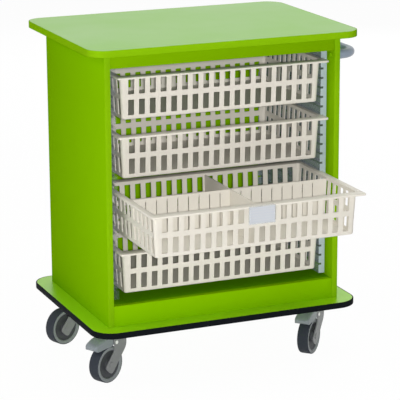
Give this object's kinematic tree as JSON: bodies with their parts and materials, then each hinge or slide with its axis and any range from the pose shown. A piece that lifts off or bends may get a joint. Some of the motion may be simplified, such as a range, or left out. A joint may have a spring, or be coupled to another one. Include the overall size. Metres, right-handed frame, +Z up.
{
  "type": "bin trolley",
  "caption": "Green board cabinet on swivel casters with mesh baskets that slide in clear grooved side panels, a push handle on one side and a flat top.",
  "frame": {"origin": "on the floor at the centre of the whole trolley's box, handle and drawn basket included", "axes": "+Z up, front with the baskets towards -Y, handle towards +X"},
  "size_m": [0.7988, 0.7462, 0.908],
  "materials": {
    "green_laminate_board": "satin",
    "green_edge_band": "satin",
    "black_bumper": "satin",
    "clear_runner_plastic": "clear",
    "white_plastic": "satin",
    "cream_basket_plastic": "satin",
    "clear_label_plastic": "clear",
    "white_card": "matte",
    "grey_blue_coating": "satin",
    "beech": "matte",
    "grey_fork_coating": "satin",
    "grey_wheel_plastic": "satin",
    "grey_tyre_rubber": "matte",
    "light_pedal_plastic": "satin",
    "zinc_plated_steel": "satin"
  },
  "bodies": {
    "cabinet": {"top_board": "green_laminate_board", "top_edging": "green_edge_band", "side_panel_left": "green_laminate_board", "side_panel_right": "green_laminate_board", "side_edging_left": "green_edge_band", "side_edging_right": "green_edge_band", "back_panel": "green_laminate_board", "deck": "green_laminate_board", "plinth": "green_laminate_board", "top_rail": "green_laminate_board", "base_board": "green_laminate_board", "base_bumper": "black_bumper", "runner_panel_left": "clear_runner_plastic", "runner_panel_right": "clear_runner_plastic", "runner_spacers": "white_plastic", "runner_screws": "zinc_plated_steel", "handle_bar": "grey_blue_coating", "handle_rosettes": "grey_blue_coating", "handle_bolts": "zinc_plated_steel", "carcass_dowels": "beech", "caster_bolts": "zinc_plated_steel", "kingpins": "zinc_plated_steel", "swivel_balls": "zinc_plated_steel", "caster_plate_fl": "zinc_plated_steel", "caster_plate_fr": "zinc_plated_steel", "caster_plate_rl": "zinc_plated_steel", "caster_plate_rr": "zinc_plated_steel"},
    "basket_1": {"basket_1": "cream_basket_plastic"},
    "basket_2": {"basket_2": "cream_basket_plastic"},
    "basket_3": {"basket_3": "cream_basket_plastic", "cross_divider": "cream_basket_plastic", "length_divider": "cream_basket_plastic", "label_holder": "clear_label_plastic", "label_card": "white_card"},
    "basket_4": {"basket_4": "cream_basket_plastic"},
    "fork_fl": {"caster_fork_fl": "grey_fork_coating", "caster_axle_fl": "zinc_plated_steel", "pedal_pin_fl": "zinc_plated_steel"},
    "wheel_fl": {"wheel_fl": "grey_wheel_plastic", "tyre_fl": "grey_tyre_rubber"},
    "pedal_fl": {"brake_pedal_fl": "light_pedal_plastic"},
    "fork_fr": {"caster_fork_fr": "grey_fork_coating", "caster_axle_fr": "zinc_plated_steel", "pedal_pin_fr": "zinc_plated_steel"},
    "wheel_fr": {"wheel_fr": "grey_wheel_plastic", "tyre_fr": "grey_tyre_rubber"},
    "pedal_fr": {"brake_pedal_fr": "light_pedal_plastic"},
    "fork_rl": {"caster_fork_rl": "grey_fork_coating", "caster_axle_rl": "zinc_plated_steel"},
    "wheel_rl": {"wheel_rl": "grey_wheel_plastic", "tyre_rl": "grey_tyre_rubber"},
    "fork_rr": {"caster_fork_rr": "grey_fork_coating", "caster_axle_rr": "zinc_plated_steel"},
    "wheel_rr": {"wheel_rr": "grey_wheel_plastic", "tyre_rr": "grey_tyre_rubber"}
  },
  "joints": [
    {"name": "basket_1_slide", "type": "slide", "parent": "cabinet", "child": "basket_1", "axis": [0, -1, 0], "range_m": [0, 0.3]},
    {"name": "basket_2_slide", "type": "slide", "parent": "cabinet", "child": "basket_2", "axis": [0, -1, 0], "range_m": [0, 0.3]},
    {"name": "basket_3_slide", "type": "slide", "parent": "cabinet", "child": "basket_3", "axis": [0, -1, 0], "range_m": [-0.224, 0.076]},
    {"name": "basket_4_slide", "type": "slide", "parent": "cabinet", "child": "basket_4", "axis": [0, -1, 0], "range_m": [0, 0.3]},
    {"name": "swivel_fl", "type": "hinge", "parent": "cabinet", "child": "fork_fl", "pos_m": [-0.30408, -0.0779, 0.125], "axis": [0, 0, 1], "continuous": true},
    {"name": "wheel_turn_fl", "type": "hinge", "parent": "fork_fl", "child": "wheel_fl", "pos_m": [-0.3394, -0.09668, 0.05], "axis": [0.4695, -0.8829, 0], "continuous": true},
    {"name": "pedal_tilt_fl", "type": "hinge", "parent": "fork_fl", "child": "pedal_fl", "pos_m": [-0.32174, -0.08729, 0.109], "axis": [0.4695, -0.8829, 0], "range_deg": [0, 12]},
    {"name": "swivel_fr", "type": "hinge", "parent": "cabinet", "child": "fork_fr", "pos_m": [0.28592, -0.0779, 0.125], "axis": [0, 0, 1], "continuous": true},
    {"name": "wheel_turn_fr", "type": "hinge", "parent": "fork_fr", "child": "wheel_fr", "pos_m": [0.25666, -0.10518, 0.05], "axis": [0.682, -0.7314, 0], "continuous": true},
    {"name": "pedal_tilt_fr", "type": "hinge", "parent": "fork_fr", "child": "pedal_fr", "pos_m": [0.27129, -0.09154, 0.109], "axis": [0.682, -0.7314, 0], "range_deg": [0, 12]},
    {"name": "swivel_rl", "type": "hinge", "parent": "cabinet", "child": "fork_rl", "pos_m": [-0.30408, 0.2621, 0.125], "axis": [0, 0, 1], "continuous": true},
    {"name": "wheel_turn_rl", "type": "hinge", "parent": "fork_rl", "child": "wheel_rl", "pos_m": [-0.34117, 0.24712, 0.05], "axis": [0.3746, -0.9272, 0], "continuous": true},
    {"name": "swivel_rr", "type": "hinge", "parent": "cabinet", "child": "fork_rr", "pos_m": [0.28592, 0.2621, 0.125], "axis": [0, 0, 1], "continuous": true},
    {"name": "wheel_turn_rr", "type": "hinge", "parent": "fork_rr", "child": "wheel_rr", "pos_m": [0.25356, 0.23859, 0.05], "axis": [0.5878, -0.809, 0], "continuous": true}
  ]
}
